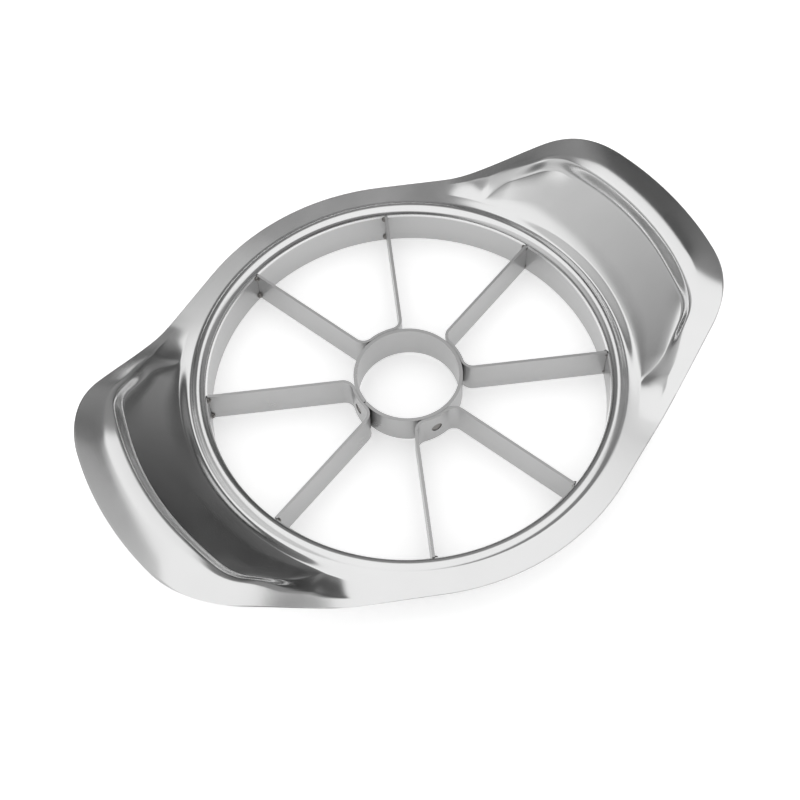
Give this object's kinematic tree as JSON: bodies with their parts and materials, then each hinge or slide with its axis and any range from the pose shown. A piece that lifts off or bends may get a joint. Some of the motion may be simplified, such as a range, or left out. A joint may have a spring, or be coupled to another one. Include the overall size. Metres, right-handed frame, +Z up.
{
  "type": "apple slicer",
  "caption": "Hand apple slicer and corer: a pressed ring with two raised handles round radial blades and a core ring.",
  "frame": {"origin": "on the ring's axis, in the plane of the collar's lower rim, which the tool stands on", "axes": "+Z up along the ring's axis, away from the cutting edges; +X along the two handles"},
  "size_m": [0.1398, 0.1026, 0.0213],
  "materials": {
    "frame_steel": "polished stainless steel",
    "blade_steel": "satin stainless steel",
    "weld_metal": "dull weld metal"
  },
  "bodies": {
    "root": {"frame": "frame_steel", "core_ring": "blade_steel", "blade_strip_1": "blade_steel", "blade_strip_2": "blade_steel", "blade_strip_3": "blade_steel", "blade_strip_4": "blade_steel", "core_spot_welds": "weld_metal", "collar_welds": "weld_metal"}
  },
  "joints": []
}
